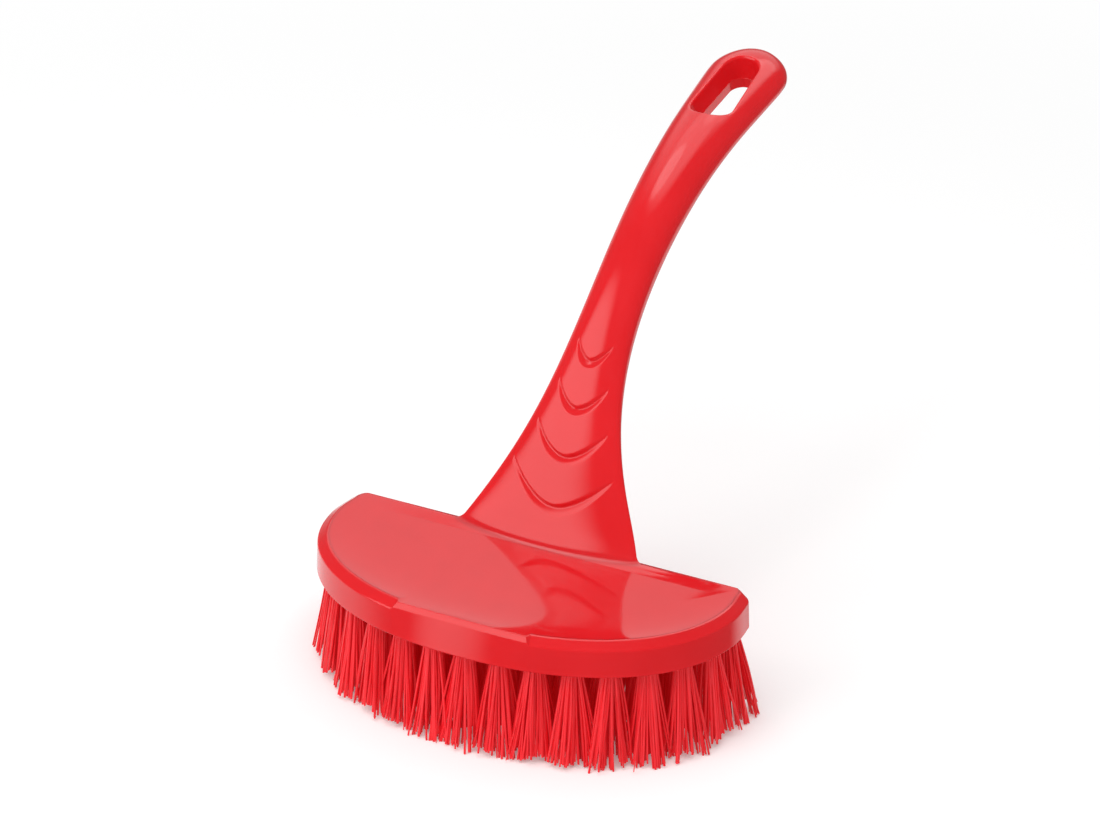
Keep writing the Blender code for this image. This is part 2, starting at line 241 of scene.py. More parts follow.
def headRing(inset, corner):
    # The head's outline drawn in by an inset, as x and y from the rear edge
    s = headSettings
    start, angles = headAngles()
    rearward = headPoint(angles, 0.0)[1]
    drawnIn = s["rearTaper"] * smooth(1 + rearward / s["rearTaperLength"])
    x, y = headPoint(angles, inset + drawnIn)
    turn = np.linspace(math.pi / 2, 0, s["cornerSteps"], endpoint=False)
    centre = x[0] - corner
    cornerX = centre + corner * np.cos(turn)
    cornerY = corner * (np.sin(turn) - 1)
    ringX = np.concatenate([cornerX, x, -cornerX[::-1]])
    ringY = np.concatenate([cornerY, y, cornerY[::-1]])
    return ringX, ringY


def topHollow(y):
    # The top is a little hollow inside its rim, and flat at the rear edge
    s = headSettings
    return s["hollow"] * (1 - np.exp(-np.maximum(rearEdge - y, 0) / s["hollowRearRun"]))


def makeHead():
    s = headSettings
    x, y = headRing(0.0, s["rearCorner"])
    onLip = (np.abs(x) <= s["lipWidth"] / 2 + s["draft"]) & (y < -s["centreSetback"])
    lipY = -(s["centreSetback"] + s["frontDepth"] - s["draft"] - s["chamferWidth"])

    def level(inset, corner, z, lipPlace=None, straight=1.0):
        ringX, ringY = headRing(inset, corner)
        if lipPlace is not None:
            ringY = np.where(onLip, ringY + (lipPlace - ringY) * straight, ringY)
        return np.stack([ringX, ringY + rearEdge, np.full_like(ringX, z)], axis=1)

    def sunk(points, away):
        points[:, 2] = headTop - topHollow(points[:, 1]) * (1 - math.exp(-away / s["hollowRun"]))
        return points

    top = s["draft"] + s["chamferWidth"]
    underside = level(2 * s["lowerRound"], s["rearCorner"], headUnder)
    low = level(0.0, s["rearCorner"], headUnder)
    shoulder = level(s["draft"], s["rearCorner"], headTop - s["chamferHeight"], lipY - s["lipRun"])
    shoulder[:, 2] = np.where(onLip, headTop - s["lipHeight"], shoulder[:, 2])
    rim = level(top, s["topCorner"], headTop, lipY)
    inner = []
    for share in np.linspace(0, 1, s["hollowRings"] + 1)[1:]:
        # The lip's straight line fades into the round outline a little way in
        away = s["hollowWidth"] * share ** s["hollowSpread"]
        straight = math.exp(-away / s["lipFade"])
        ring = level(top + away, s["topCorner"], headTop, lipY + away, straight)
        ring[:, 1] = np.minimum(ring[:, 1], rearEdge - away)
        inner.append(sunk(ring, away))
    widest = inner[-1]
    middle = widest.mean(axis=0)
    for share in np.linspace(0, 1, s["centreRings"] + 1)[1:-1]:
        away = s["hollowWidth"] + (s["hollowMiddle"] - s["hollowWidth"]) * share
        inner.append(sunk(widest * (1 - share) + middle * share, away))
    steps = s["roundSteps"]
    shoulderRound = np.where(onLip, s["lipRound"], s["chamferRound"])[:, None]
    rimRound = np.where(onLip, s["lipRound"], s["rimRound"])[:, None]
    rings = np.concatenate([bend(underside, low, shoulder, s["lowerRound"], steps),
                            bend(low, shoulder, rim, shoulderRound, steps),
                            bend(shoulder, rim, inner[0], rimRound, steps), np.array(inner)])
    return rolledGrid("brushHead", rings)


# Handle: its line rises from the rear edge, bends back and runs straight into the grip

handleSettings = {
    "length": 0.1890,
    "footLean": math.radians(26.0),
    "bendAngle": math.radians(50.9),
    "bendStart": 0.0096,
    "bendEnd": 0.1739,
    "bendEase": 0.018,
    "footSetback": 0.0006,
    "heelReach": 0.0024,
    "heelLength": 0.006,
    "uprightLength": 0.016,
    "lineStep": 0.001,
    "footHalfWidth": 0.0328,
    "neckHalfWidth": 0.0098,
    "gripHalfWidth": 0.0143,
    "neckPlace": 0.092,
    "gripPlace": 0.186,
    "footCurve": 0.28,
    "footSlope": 0.59,
    "neckBefore": 0.52,
    "neckAfter": 0.29,
    "gripBefore": 0.31,
    "gripSlope": 0.37,
    "curveSteps": 80,
    "footCrown": 0.0051,
    "faceCrown": 0.0042,
    "gripCrown": 0.0078,
    "crownFade": 0.010,
    "crownRiseStart": 0.030,
    "crownRiseLength": 0.120,
    "footArc": 0.72,
    "gripArc": 0.30,
    "arcFade": 0.045,
    "footBack": 0.0004,
    "neckBack": 0.0056,
    "gripBack": 0.0044,
    "backRise": 0.022,
    "backFallStart": 0.090,
    "backFallLength": 0.050,
    "footPower": 2.0,
    "gripPower": 2.5,
    "powerRise": 0.060,
    "facePower": 3.2,
    "facePowerEnd": 0.090,
    "facePowerFade": 0.060,
    "footFillet": 0.0018,
    "footSink": 0.004,
    "rearInset": 0.0002,
    "capTurn": math.radians(82),
    "capThicknessPower": 0.7,
    "capClose": 0.99995,
    "leastWidth": 1e-6,
    "sectionSamples": 800,
    "frontSteps": 144,
    "backSteps": 40,
    "frontWeight": 0.70,
    "filletRings": 10,
    "grooveEnd": 0.080,
    "grooveRingPitch": 0.0003,
    "shaftRingPitch": 0.0012,
    "capRings": 24,
}


def handleLine():
    # Places along the line with y, z and lean, counted from the foot
    h = handleSettings
    step = h["lineStep"]
    count = round((h["length"] + h["gripHalfWidth"]) / step)
    middle = (np.arange(count) + 0.5) * step
    rise = np.clip((middle - h["bendStart"]) / h["bendEase"], 0, 1)
    fall = np.clip((h["bendEnd"] - middle) / h["bendEase"], 0, 1)
    turn = h["bendAngle"] / (h["bendEnd"] - h["bendStart"] - h["bendEase"]) * np.minimum(rise, fall) * step
    lean = h["footLean"] + np.concatenate([[0], np.cumsum(turn)])
    leanBetween = lean[:-1] + turn / 2
    place = np.arange(count + 1) * step
    heel = h["heelReach"] * (1 - np.exp(-place / h["heelLength"]))
    y = rearEdge - h["footSetback"] + np.concatenate([[0], np.cumsum(np.sin(leanBetween) * step)]) + heel
    z = headTop + np.concatenate([[0], np.cumsum(np.cos(leanBetween) * step)])
    return place, y, z, lean


linePlace, lineY, lineZ, lineLean = handleLine()


def drawnCurve(start, startHandle, endHandle, end):
    t = np.linspace(0, 1, handleSettings["curveSteps"] + 1)[:, None]
    u = 1 - t
    return (u ** 3 * np.array(start) + 3 * u * u * t * np.array(startHandle)
            + 3 * u * t * t * np.array(endHandle) + t ** 3 * np.array(end))


def sideCurve():
    h = handleSettings
    fall = h["footHalfWidth"] - h["neckHalfWidth"]
    rise = h["gripHalfWidth"] - h["neckHalfWidth"]
    beyond = h["gripPlace"] - h["neckPlace"]
    lower = drawnCurve((0, h["footHalfWidth"]),
                       (h["neckPlace"] * h["footCurve"], h["footHalfWidth"] - fall * h["footSlope"]),
                       (h["neckPlace"] * (1 - h["neckBefore"]), h["neckHalfWidth"]),
                       (h["neckPlace"], h["neckHalfWidth"]))
    upper = drawnCurve((h["neckPlace"], h["neckHalfWidth"]),
                       (h["neckPlace"] + beyond * h["neckAfter"], h["neckHalfWidth"]),
                       (h["gripPlace"] - beyond * h["gripBefore"],
                        h["gripHalfWidth"] - rise * h["gripSlope"]),
                       (h["gripPlace"], h["gripHalfWidth"]))
    return np.concatenate([lower, upper[1:]])


sidePoints = sideCurve()


def capShare(place):
    # How much of the full width is left in the rounded end
    h = handleSettings
    reach = h["gripHalfWidth"] * math.sin(h["capTurn"])
    into = np.clip((place - h["length"]) / reach, 0, 1)
    return np.sqrt(1 - into * into)


def halfWidth(place):
    return np.interp(place, sidePoints[:, 0], sidePoints[:, 1]) * capShare(place)


def crown(place):
    h = handleSettings
    foot = (h["footCrown"] - h["faceCrown"]) * np.exp(-place / h["crownFade"])
    rise = (h["gripCrown"] - h["faceCrown"]) * smooth((place - h["crownRiseStart"]) / h["crownRiseLength"])
    return (h["faceCrown"] + foot + rise) * capShare(place) ** h["capThicknessPower"]


def backDepth(place):
    h = handleSettings
    foot = (h["neckBack"] - h["footBack"]) * (1 - np.exp(-place / h["backRise"]))
    fall = (h["neckBack"] - h["gripBack"]) * smooth((place - h["backFallStart"]) / h["backFallLength"])
    return (h["footBack"] + foot - fall) * capShare(place) ** h["capThicknessPower"]


def backPower(place):
    h = handleSettings
    return h["footPower"] + (h["gripPower"] - h["footPower"]) * smooth(place / h["powerRise"])


def frontPower(place):
    h = handleSettings
    fade = smooth((place - h["facePowerEnd"]) / h["facePowerFade"])
    return h["facePower"] + (h["gripPower"] - h["facePower"]) * fade


def frontBulge(share, place):
    # The face is a shallow arc between rounded edges
    h = handleSettings
    power = frontPower(place)
    edge = (1 - share ** power) ** (1 / power)
    arc = h["gripArc"] + (h["footArc"] - h["gripArc"]) * np.exp(-place / h["arcFade"])
    return arc * (1 - share * share) + (1 - arc) * edge


def onHandle(across, place, depth):
    # A point of the handle, by its place across, along and in front of its line
    y = np.interp(place, linePlace, lineY)
    z = np.interp(place, linePlace, lineZ)
    tilt = np.interp(place, linePlace, lineLean) * smooth(place / handleSettings["uprightLength"])
    return np.stack([across + 0 * y, y - np.cos(tilt) * depth, z + np.sin(tilt) * depth], axis=-1)


def surfaceDepth(across, place, front=True):
    # How deep the handle's surface lies in front of its line, or behind it
    share = np.clip(np.abs(across) / np.maximum(halfWidth(place), handleSettings["leastWidth"]), 0, 1)
    if front:
        return crown(place) * frontBulge(share, place)
    power = backPower(place)
    return -backDepth(place) * (1 - share ** power) ** (1 / power)


# Crescent grooves, pressed into the handle's face

grooveSettings = {
    "count": 4,
    "firstPlace": 0.0105,
    "pitch": 0.0160,
    "halfSpan": 0.0186,
    "spanRatio": 0.70,
    "sag": 0.0126,
    "sagLoss": 0.0021,
    "curvePower": 1.9,
    "depth": 0.00095,
    "depthPower": 0.7,
    "innerWidth": 0.0013,
    "outerWidth": 0.0025,
    "outerPower": 1.3,
    "tipWidth": 0.35,
}


def grooveDepth(across, place):
    # Steep on the side towards the grip, gentle on the other, and fading out at the tips
    g = grooveSettings
    total = np.zeros_like(across)
    for index in range(g["count"]):
        span = g["halfSpan"] * g["spanRatio"] ** index
        sag = g["sag"] - g["sagLoss"] * index
        u = np.clip(np.abs(across) / span, 0, 1)
        line = g["firstPlace"] + g["pitch"] * index + sag * u ** g["curvePower"]
        slope = sag * g["curvePower"] * u ** (g["curvePower"] - 1) / span
        away = (place - line) / np.sqrt(1 + slope * slope)
        fullness = 1 - u * u
        widthShare = g["tipWidth"] + (1 - g["tipWidth"]) * fullness
        steep = 1 - smooth(away / (g["innerWidth"] * widthShare))
        gentle = np.clip(1 + away / (g["outerWidth"] * widthShare), 0, 1) ** g["outerPower"]
        side = np.where(away > 0, steep, gentle)
        total = np.maximum(total, g["depth"] * fullness ** g["depthPower"] * side)
    return total


def halfSection(place, flare, front, steps):
    # Points across half a section, spread by length along it and by turn
    h = handleSettings
    turn = np.linspace(0, math.pi, h["sectionSamples"])
    power = 2 / (frontPower(place) if front else backPower(place))
    share = signedPower(np.cos(turn), power)
    across = (halfWidth(place) + flare) * share
    rise = np.abs(np.sin(turn)) ** power
    if front:
        out = crown(place) * frontBulge(np.clip(np.abs(share), 0, 1), place) + flare * rise
    else:
        out = -backDepth(place) * rise
    travelled = np.concatenate([[0], np.cumsum(np.hypot(np.diff(across), np.diff(out)))])
    spread = h["frontWeight"] * travelled / travelled[-1] + (1 - h["frontWeight"]) * turn / math.pi
    wanted = np.linspace(0, 1, steps + 1)
    across = np.interp(wanted, spread, across)
    out = np.interp(wanted, spread, out)
    return across, out


def handleRing(place, flare=0.0):
    h = handleSettings
    across, out = halfSection(place, flare, True, h["frontSteps"])
    if place < h["grooveEnd"] and flare == 0.0:
        out = out - grooveDepth(across, np.full_like(across, place))
    backAcross, backOut = halfSection(place, flare, False, h["backSteps"])
    ringAcross = np.concatenate([across, -backAcross[1:-1]])
    ringOut = np.concatenate([out, backOut[1:-1]])
    return onHandle(ringAcross, np.full_like(ringAcross, place), ringOut)


def makeHandle():
    h = handleSettings
    fillet = h["footFillet"]
    rings = []
    # The fillet at the foot stands on the head's hollow top
    for turn in np.linspace(0, math.pi / 2, h["filletRings"], endpoint=False):
        ring = handleRing(fillet * (1 - math.cos(turn)), fillet * (1 - math.sin(turn)))
        ring[:, 2] -= topHollow(ring[:, 1]) * math.cos(turn)
        rings.append(ring)
    base = rings[0].copy()
    base[:, 1] = np.minimum(base[:, 1], rearEdge - h["rearInset"])
    rings[0] = base
    sunk = base.copy()
    sunk[:, 2] -= h["footSink"]
    rings.insert(0, sunk)
    # Close rings along the grooves, wider ones to the grip, then the rounded end
    for place in np.arange(fillet, h["grooveEnd"], h["grooveRingPitch"]):
        rings.append(handleRing(place))
    shaftCount = round((h["length"] - h["grooveEnd"]) / h["shaftRingPitch"])
    for place in np.linspace(h["grooveEnd"], h["length"], shaftCount, endpoint=False):
        rings.append(handleRing(place))
    reach = h["gripHalfWidth"] * math.sin(h["capTurn"])
    for turn in np.linspace(0, math.pi / 2, h["capRings"], endpoint=False):
        rings.append(handleRing(h["length"] + reach * math.sin(turn)))
    rings.append(handleRing(h["length"] + reach * h["capClose"]))
    return rolledGrid("brushHandle", np.array(rings))


# Hanging slot: a pocket with a soft rim over a smaller hole right through

slotSettings = {
    "endWall": 0.0115,
    "length": 0.0340,
    "width": 0.0138,
    "taper": 0.0036,
    "corner": 0.0062,
    "pocketDepth": 0.0080,
    "draft": 0.0014,
    "ledge": 0.0016,
    "rim": 0.0013,
    "backRim": 0.0004,
    "rimDegrees": 80,
    "cornerSteps": 12,
    "sideSteps": 14,
    "rimSteps": 7,
    "overrun": 0.003,
}


def slotOutline(grow):
    # Wider at the end near the neck than at the far end
    s = slotSettings
    length = s["length"] + 2 * grow
    width = s["width"] + 2 * grow
    corner = s["corner"] + grow
    across = []
    along = []
    for signX, signY, start in ((1, 1, 0), (-1, 1, 1), (-1, -1, 2), (1, -1, 3)):
        turn = math.pi / 2 * (start + np.linspace(0, 1, s["cornerSteps"] + 1))
        across.append(signX * (width / 2 - corner) + corner * np.cos(turn))
        along.append(signY * (length / 2 - corner) + corner * np.sin(turn))
        if start in (1, 3):
            # The long sides follow the handle's curve, so they have points of their own
            side = np.linspace(0, 1, s["sideSteps"] + 2)[1:-1]
            across.append(np.full_like(side, signX * width / 2))
            along.append(signY * (length / 2 - corner) * (1 - 2 * side))
    across = np.concatenate(across)
    along = np.concatenate(along)
    return across * (1 - s["taper"] / s["width"] * along / s["length"]), along


def makeSlotCutter():
    s = slotSettings
    h = handleSettings
    middle = h["length"] + h["gripHalfWidth"] - s["endWall"] - s["length"] / 2
    pocketFloor = crown(middle) - s["pocketDepth"]

    def ring(grow, depth):
        across, along = slotOutline(grow)
        return onHandle(across, middle + along, depth(across, middle + along))

    rings = []
    turns = np.radians(np.linspace(s["rimDegrees"], 0, s["rimSteps"] + 1))
    rings.append(ring(s["backRim"] - s["ledge"],
                      lambda a, p: surfaceDepth(a, p, False) - s["overrun"]))
    for turn in turns:
        grow = s["backRim"] * (1 - math.cos(turn)) - s["ledge"]
        lift = s["backRim"] * (1 - math.sin(turn))
        rings.append(ring(grow, lambda a, p: surfaceDepth(a, p, False) + lift))
    rings.append(ring(-s["ledge"], lambda a, p: np.full_like(a, pocketFloor - s["ledge"] + s["draft"])))
    rings.append(ring(-s["draft"], lambda a, p: np.full_like(a, pocketFloor)))
    for turn in turns[::-1]:
        grow = s["rim"] * (1 - math.cos(turn))
        sink = s["rim"] * (1 - math.sin(turn))
        rings.append(ring(grow, lambda a, p: surfaceDepth(a, p) - sink))
    rings.append(ring(s["rim"], lambda a, p: surfaceDepth(a, p) + s["overrun"]))
    return rolledGrid("slotCutter", np.array(rings))


# Tufts: where each is rooted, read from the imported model, and the holes for them

holeSettings = {
    "radius": 0.0029,
    "depth": 0.0093,
    "mouth": 0.0004,
    "sides": 20,
    "overrun": 0.002,
    "ringAbove": 0.005,
}


def tuftNodes():
    return sorted(name for name in frame["nodes"] if name.startswith("tuft_"))


def rootOf(name):
    # The middle of the root at the head's underside, and the way it points up, from its flat upper end
    points = np.array([v.co for v in frame["nodes"][name].data.vertices])
    upperRing = points[points[:, 2] > headUnder + holeSettings["ringAbove"]]
    centre = upperRing.mean(axis=0)
    normal = np.linalg.svd(upperRing - centre)[2][2]
    normal = normal * np.sign(normal[2])
    root = centre - normal * (centre[2] - headUnder) / normal[2]
    return root, normal


def makeHoleCutter():
    # One solid for each tuft, all in one object: a hole with a slightly wider mouth
    h = holeSettings
    turn = np.linspace(0, 2 * math.pi, h["sides"], endpoint=False)
    profile = [(h["radius"] + h["mouth"], -h["overrun"]), (h["radius"] + h["mouth"], 0.0),
               (h["radius"], h["mouth"]), (h["radius"], h["depth"])]
    made = []
    for name in tuftNodes():
        root, normal = rootOf(name)
        lean = Vector((0, 0, 1)).rotation_difference(Vector(normal))
        matrix = Matrix.Translation(root) @ lean.to_matrix().to_4x4()
        rings = [[matrix @ Vector((r * math.cos(t), r * math.sin(t), z)) for t in turn] for r, z in profile]
        made.append(rolledGrid("holeCutter", np.array(rings)))
    startOn(made[0])
    for obj in made:
        obj.select_set(True)
    bpy.ops.object.join()
    return bpy.context.object


# Body: head and handle in one, with the slot and the holes cut

bodySettings = {
    "smoothAngle": math.radians(40),
    "normalWeight": 80,
}


def makeBody():
    body = makeHead()
    body.name = "headAndHandle"
    handle = makeHandle()
    print("Head and handle drawn")
    combine(handle, makeSlotCutter(), 'DIFFERENCE')
    combine(body, handle, 'UNION')
    combine(body, makeHoleCutter(), 'DIFFERENCE')
    points = np.array([v.co for v in body.data.vertices])
    placeVertices(body, np.clip(points, cadBox[0], cadBox[1]))
    startOn(body)
    bpy.ops.object.mode_set(mode='EDIT')
    bpy.ops.mesh.select_all(action='SELECT')
    bpy.ops.mesh.remove_doubles(threshold=weldDistance)
    bpy.ops.mesh.normals_make_consistent(inside=False)
    bpy.ops.object.mode_set(mode='OBJECT')
    bpy.ops.object.shade_smooth_by_angle(angle=bodySettings["smoothAngle"])
    bpy.ops.object.modifier_add(type='WEIGHTED_NORMAL')
    weighted = body.modifiers[-1]
    weighted.keep_sharp = True
    weighted.weight = bodySettings["normalWeight"]
    bpy.ops.object.modifier_apply(modifier=weighted.name)
    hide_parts("brush_body")
    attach(body, "root")
    print("Body cut, with", len(body.data.polygons), "faces")
    return body


# Filaments: one is modelled, and each tuft is made of moved copies of it

tuftSettings = {
    "filaments": 70,
    "filamentRadius": 0.00036,
    "sides": 6,
    "segments": 4,
    "rootRadius": 0.0029,
    "rootRise": 0.0015,
    "tipRadius": 0.0086,
    "outwardShare": 0.50,
    "tipJitter": 0.0009,
    "bow": 0.0006,
    "ragged": 0.0014,
    "clumps": 8,
    "clumpHeight": 0.0036,
    "clumpDraw": 0.48,
    "clumpTurn": 0.3,
    "strayEvery": 30,
    "strayReach": 0.0035,
    "strayThickness": 0.55,
    "thicknessChange": 0.20,
    "smoothAngle": math.radians(60),
}


def makeFilament():
    # A thin round rod one unit high, cut into even segments
    t = tuftSettings
    deselectAll()
    bpy.ops.mesh.primitive_cylinder_add(vertices=t["sides"], radius=t["filamentRadius"], depth=1,
                                        location=(0, 0, 0.5), end_fill_type='NGON')
    rod = bpy.context.object
    startOn(rod)
    bpy.ops.object.transform_apply(location=True, rotation=True, scale=True)
    bpy.ops.object.mode_set(mode='EDIT')
    for i in range(1, t["segments"]):
        bpy.ops.mesh.select_all(action='SELECT')
        bpy.ops.mesh.bisect(plane_co=(0, 0, i / t["segments"]), plane_no=(0, 0, 1))
    bpy.ops.object.mode_set(mode='OBJECT')
    points = np.array([v.co for v in rod.data.vertices])
    faces = [list(p.vertices) for p in rod.data.polygons]
    bpy.data.objects.remove(rod, do_unlink=True)
    return points, faces


def spiralTurn(first, index):
    # Turns that fill a round area evenly, as seeds do in a sunflower
    return first + index * math.pi * (3 - math.sqrt(5))


def makeTuft(name, number, rod):
    t = tuftSettings
    chance = random.Random(number)
    root, up = rootOf(name)
    rodPoints, rodFaces = rod
    height = rodPoints[:, 2:3]
    tipCentre = root - up * root[2] / up[2]
    outward = np.array([root[0], root[1] - rearEdge, 0])
    outward = outward / np.linalg.norm(outward)
    firstTurn = chance.uniform(0, 2 * math.pi)
    clumps = []
    for i in range(t["clumps"]):
        reach = t["tipRadius"] * math.sqrt((i + 0.5) / t["clumps"])
        turn = spiralTurn(firstTurn, i) + chance.uniform(-t["clumpTurn"], t["clumpTurn"])
        clumps.append((np.array([math.cos(turn), math.sin(turn), 0]) * reach, chance.random()))
    points = []
    faces = []
    tones = []
    for k in range(t["filaments"]):
        reach = math.sqrt((k + 0.5) / t["filaments"])
        turn = spiralTurn(firstTurn, k)
        way = np.array([math.cos(turn), math.sin(turn), 0])
        start = root + up * t["rootRise"] + way * reach * (t["rootRadius"] - t["filamentRadius"])
        jitter = np.array([chance.gauss(0, t["tipJitter"]), chance.gauss(0, t["tipJitter"]), 0])
        isStray = k % t["strayEvery"] == t["strayEvery"] - 1
        stray = t["strayReach"] * chance.random() if isStray else 0
        place = way * reach * (t["tipRadius"] + stray)
        clumpPlace, clumpShare = min(clumps, key=lambda clump: np.linalg.norm(clump[0] - place))
        if not isStray:
            # Neighbouring filaments draw together into pointed clumps
            place = place + (clumpPlace - place) * t["clumpDraw"]
        # A tuft spreads less away from the head than sideways and inwards
        place = place - outward * max(place @ outward, 0) * (1 - t["outwardShare"])
        end = tipCentre + place + jitter
        end[2] = t["clumpHeight"] * clumpShare ** 2 + t["ragged"] * chance.random() ** 2
        end[:2] += (start[:2] - end[:2]) * (end[2] / headUnder)
        bowWay = np.array([chance.uniform(-1, 1), chance.uniform(-1, 1), 0]) * t["bow"]
        centre = end + (start - end) * height + bowWay * np.sin(math.pi * height)
        twist = chance.uniform(0, 2 * math.pi)
        thickness = 1 + chance.uniform(-1, 1) * t["thicknessChange"]
        if isStray:
            thickness *= t["strayThickness"]
        turned = np.stack([rodPoints[:, 0] * math.cos(twist) - rodPoints[:, 1] * math.sin(twist),
                           rodPoints[:, 0] * math.sin(twist) + rodPoints[:, 1] * math.cos(twist),
                           0 * rodPoints[:, 0]], axis=1)
        base = len(points) * len(rodPoints)
        points.append(np.clip(centre + turned * thickness, cadBox[0], cadBox[1]))
        faces += [[base + i for i in face] for face in rodFaces]
        tones += [chance.random()] * len(rodPoints)
    mesh = bpy.data.meshes.new(name + "_filaments")
    mesh.from_pydata(np.concatenate(points).tolist(), [], faces)
    tone = mesh.attributes.new("tone", 'FLOAT', 'POINT')
    tone.data.foreach_set("value", tones)
    obj = bpy.data.objects.new(name + "_filaments", mesh)
    bpy.context.scene.collection.objects.link(obj)
    startOn(obj)
    bpy.ops.object.shade_smooth_by_angle(angle=t["smoothAngle"])
    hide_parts(name)
    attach(obj, "root")
    return obj


# Materials

def addGroup(name, inputs, outputs):
    group = bpy.data.node_groups.new(name, 'ShaderNodeTree')
    for label, kind, value in inputs:
        socket = group.interface.new_socket(name=label, in_out='INPUT', socket_type=kind)
        socket.default_value = value
    for label, kind in outputs:
        group.interface.new_socket(name=label, in_out='OUTPUT', socket_type=kind)
    return group, group.nodes.new('NodeGroupInput'), group.nodes.new('NodeGroupOutput')


mouldedSettings = {
    "scale": 60.0,
    "gloss": 0.1,
    "glossChange": 0.04,
    "wave": 0.1,
    "driftDetail": 2,
    "waveScale": 45,
    "waveDetail": 0,
    "waveHeight": 0.0004,
}


def makeMouldedGroup():
    # A slow drift of tone, which the gloss follows, and a faint wave, as moulded plastic has
    s = mouldedSettings
    group, inside, outside = addGroup("mouldedSurface", [
        ("Scale", 'NodeSocketFloat', s["scale"]), ("Gloss", 'NodeSocketFloat', s["gloss"]),
        ("Gloss Change", 'NodeSocketFloat', s["glossChange"]), ("Wave", 'NodeSocketFloat', s["wave"])],
        [("Tone", 'NodeSocketFloat'), ("Roughness", 'NodeSocketFloat'), ("Normal", 'NodeSocketVector')])
    nodes, links = group.nodes, group.links
    place = nodes.new('ShaderNodeTexCoord')
    drift = nodes.new('ShaderNodeTexNoise')
    drift.inputs["Detail"].default_value = s["driftDetail"]
    links.new(place.outputs["Object"], drift.inputs["Vector"])
    links.new(inside.outputs["Scale"], drift.inputs["Scale"])
    links.new(drift.outputs["Fac"], outside.inputs["Tone"])
    spread = nodes.new('ShaderNodeMath')
    spread.operation = 'MULTIPLY_ADD'
    links.new(drift.outputs["Fac"], spread.inputs[0])
    links.new(inside.outputs["Gloss Change"], spread.inputs[1])
    links.new(inside.outputs["Gloss"], spread.inputs[2])
    links.new(spread.outputs["Value"], outside.inputs["Roughness"])
    wave = nodes.new('ShaderNodeTexNoise')
    wave.inputs["Scale"].default_value = s["waveScale"]
    wave.inputs["Detail"].default_value = s["waveDetail"]
    links.new(place.outputs["Object"], wave.inputs["Vector"])
    bump = nodes.new('ShaderNodeBump')
    bump.inputs["Distance"].default_value = s["waveHeight"]
    links.new(inside.outputs["Wave"], bump.inputs["Strength"])
    links.new(wave.outputs["Fac"], bump.inputs["Height"])
    links.new(bump.outputs["Normal"], outside.inputs["Normal"])
    return group


def addMaterial(name):
    material = bpy.data.materials.new(name)
    material.use_nodes = True
    return material, material.node_tree.nodes, material.node_tree.links


def addPlastic(name, group, settings):
    # The moulded surface, with a colour between deep and light by its slow drift of tone
    material, nodes, links = addMaterial(name)
    shader = nodes["Principled BSDF"]
    surface = nodes.new('ShaderNodeGroup')
    surface.node_tree = group
    surface.inputs["Scale"].default_value = settings["scale"]
    surface.inputs["Gloss"].default_value = settings["gloss"]
    surface.inputs["Gloss Change"].default_value = settings["glossChange"]
    surface.inputs["Wave"].default_value = settings["wave"]
    colour = nodes.new('ShaderNodeMix')
    colour.data_type = 'RGBA'
    colour.inputs["A"].default_value = settings["deep"]
    colour.inputs["B"].default_value = settings["light"]
    links.new(surface.outputs["Tone"], colour.inputs["Factor"])
    links.new(colour.outputs["Result"], shader.inputs["Base Color"])
    links.new(surface.outputs["Roughness"], shader.inputs["Roughness"])
    links.new(surface.outputs["Normal"], shader.inputs["Normal"])
    shader.inputs["IOR"].default_value = settings["ior"]
    return material, shader, colour


glossSettings = {
    "deep": (0.70, 0.010, 0.014, 1),
    "light": (0.78, 0.016, 0.022, 1),
    "gloss": 0.04,
    "glossChange": 0.06,
    "wave": 0.12,
    "scale": 40.0,
    "ior": 1.5,
    "seeInto": 0.25,
    "seeIntoReach": 0.006,
    "seeIntoTint": (1.0, 0.1, 0.1),
}


def makeGlossRed(group):
    s = glossSettings
    material, shader, colour = addPlastic("glossRedPlastic", group, s)
    # Red light travels a few millimetres inside the plastic
    shader.inputs["Subsurface Weight"].default_value = s["seeInto"]
    shader.inputs["Subsurface Scale"].default_value = s["seeIntoReach"]
    shader.inputs["Subsurface Radius"].default_value = s["seeIntoTint"]
    return material


bristleSettings = {
    "deep": (0.86, 0.010, 0.018, 1),
    "light": (1.0, 0.030, 0.042, 1),
    "gloss": 0.26,
    "glossChange": 0.12,
    "wave": 0.05,
    "scale": 300.0,
    "ior": 1.5,
    # Strength of the painted glow that lifts the shade between the filaments
    "lightWithin": 0.05,
}


def makeBristleRed(group):
    s = bristleSettings
    material, shader, colour = addPlastic("redBristle", group, s)
    nodes, links = material.node_tree.nodes, material.node_tree.links
    # Each filament has a tone of its own, which takes the place of the slow drift
    tone = nodes.new('ShaderNodeAttribute')
    tone.attribute_name = "tone"
    links.new(tone.outputs["Fac"], colour.inputs["Factor"])
    # A faint painted glow in each filament's own colour lifts the shade between the filaments, standing in
    # for light that the half clear filaments would carry down between them
    links.new(colour.outputs["Result"], shader.inputs["Emission Color"])
    shader.inputs["Emission Strength"].default_value = s["lightWithin"]
    return material


body = makeBody()
rod = makeFilament()
tufts = [makeTuft(name, number, rod) for number, name in enumerate(tuftNodes())]
print("Tufts made:", len(tufts), "with", sum(len(tuft.data.polygons) for tuft in tufts), "faces")

moulded = makeMouldedGroup()
glossRed = makeGlossRed(moulded)
bristleRed = makeBristleRed(moulded)
body.data.materials.clear()
body.data.materials.append(glossRed)
for tuft in tufts:
    tuft.data.materials.append(bristleRed)
print("Materials set")


# Studio: a pale floor, a white surround and soft panels

studioSettings = {
    "floorSize": 12.0,
    "floorPaint": 0.88,
    "floorGlow": 0.18,
    "fadeStart": 0.30,
    "fadeEnd": 0.70,
    "ambient": 0.60,
    "dark": 0.20,
    "panelAim": 0.06,
}

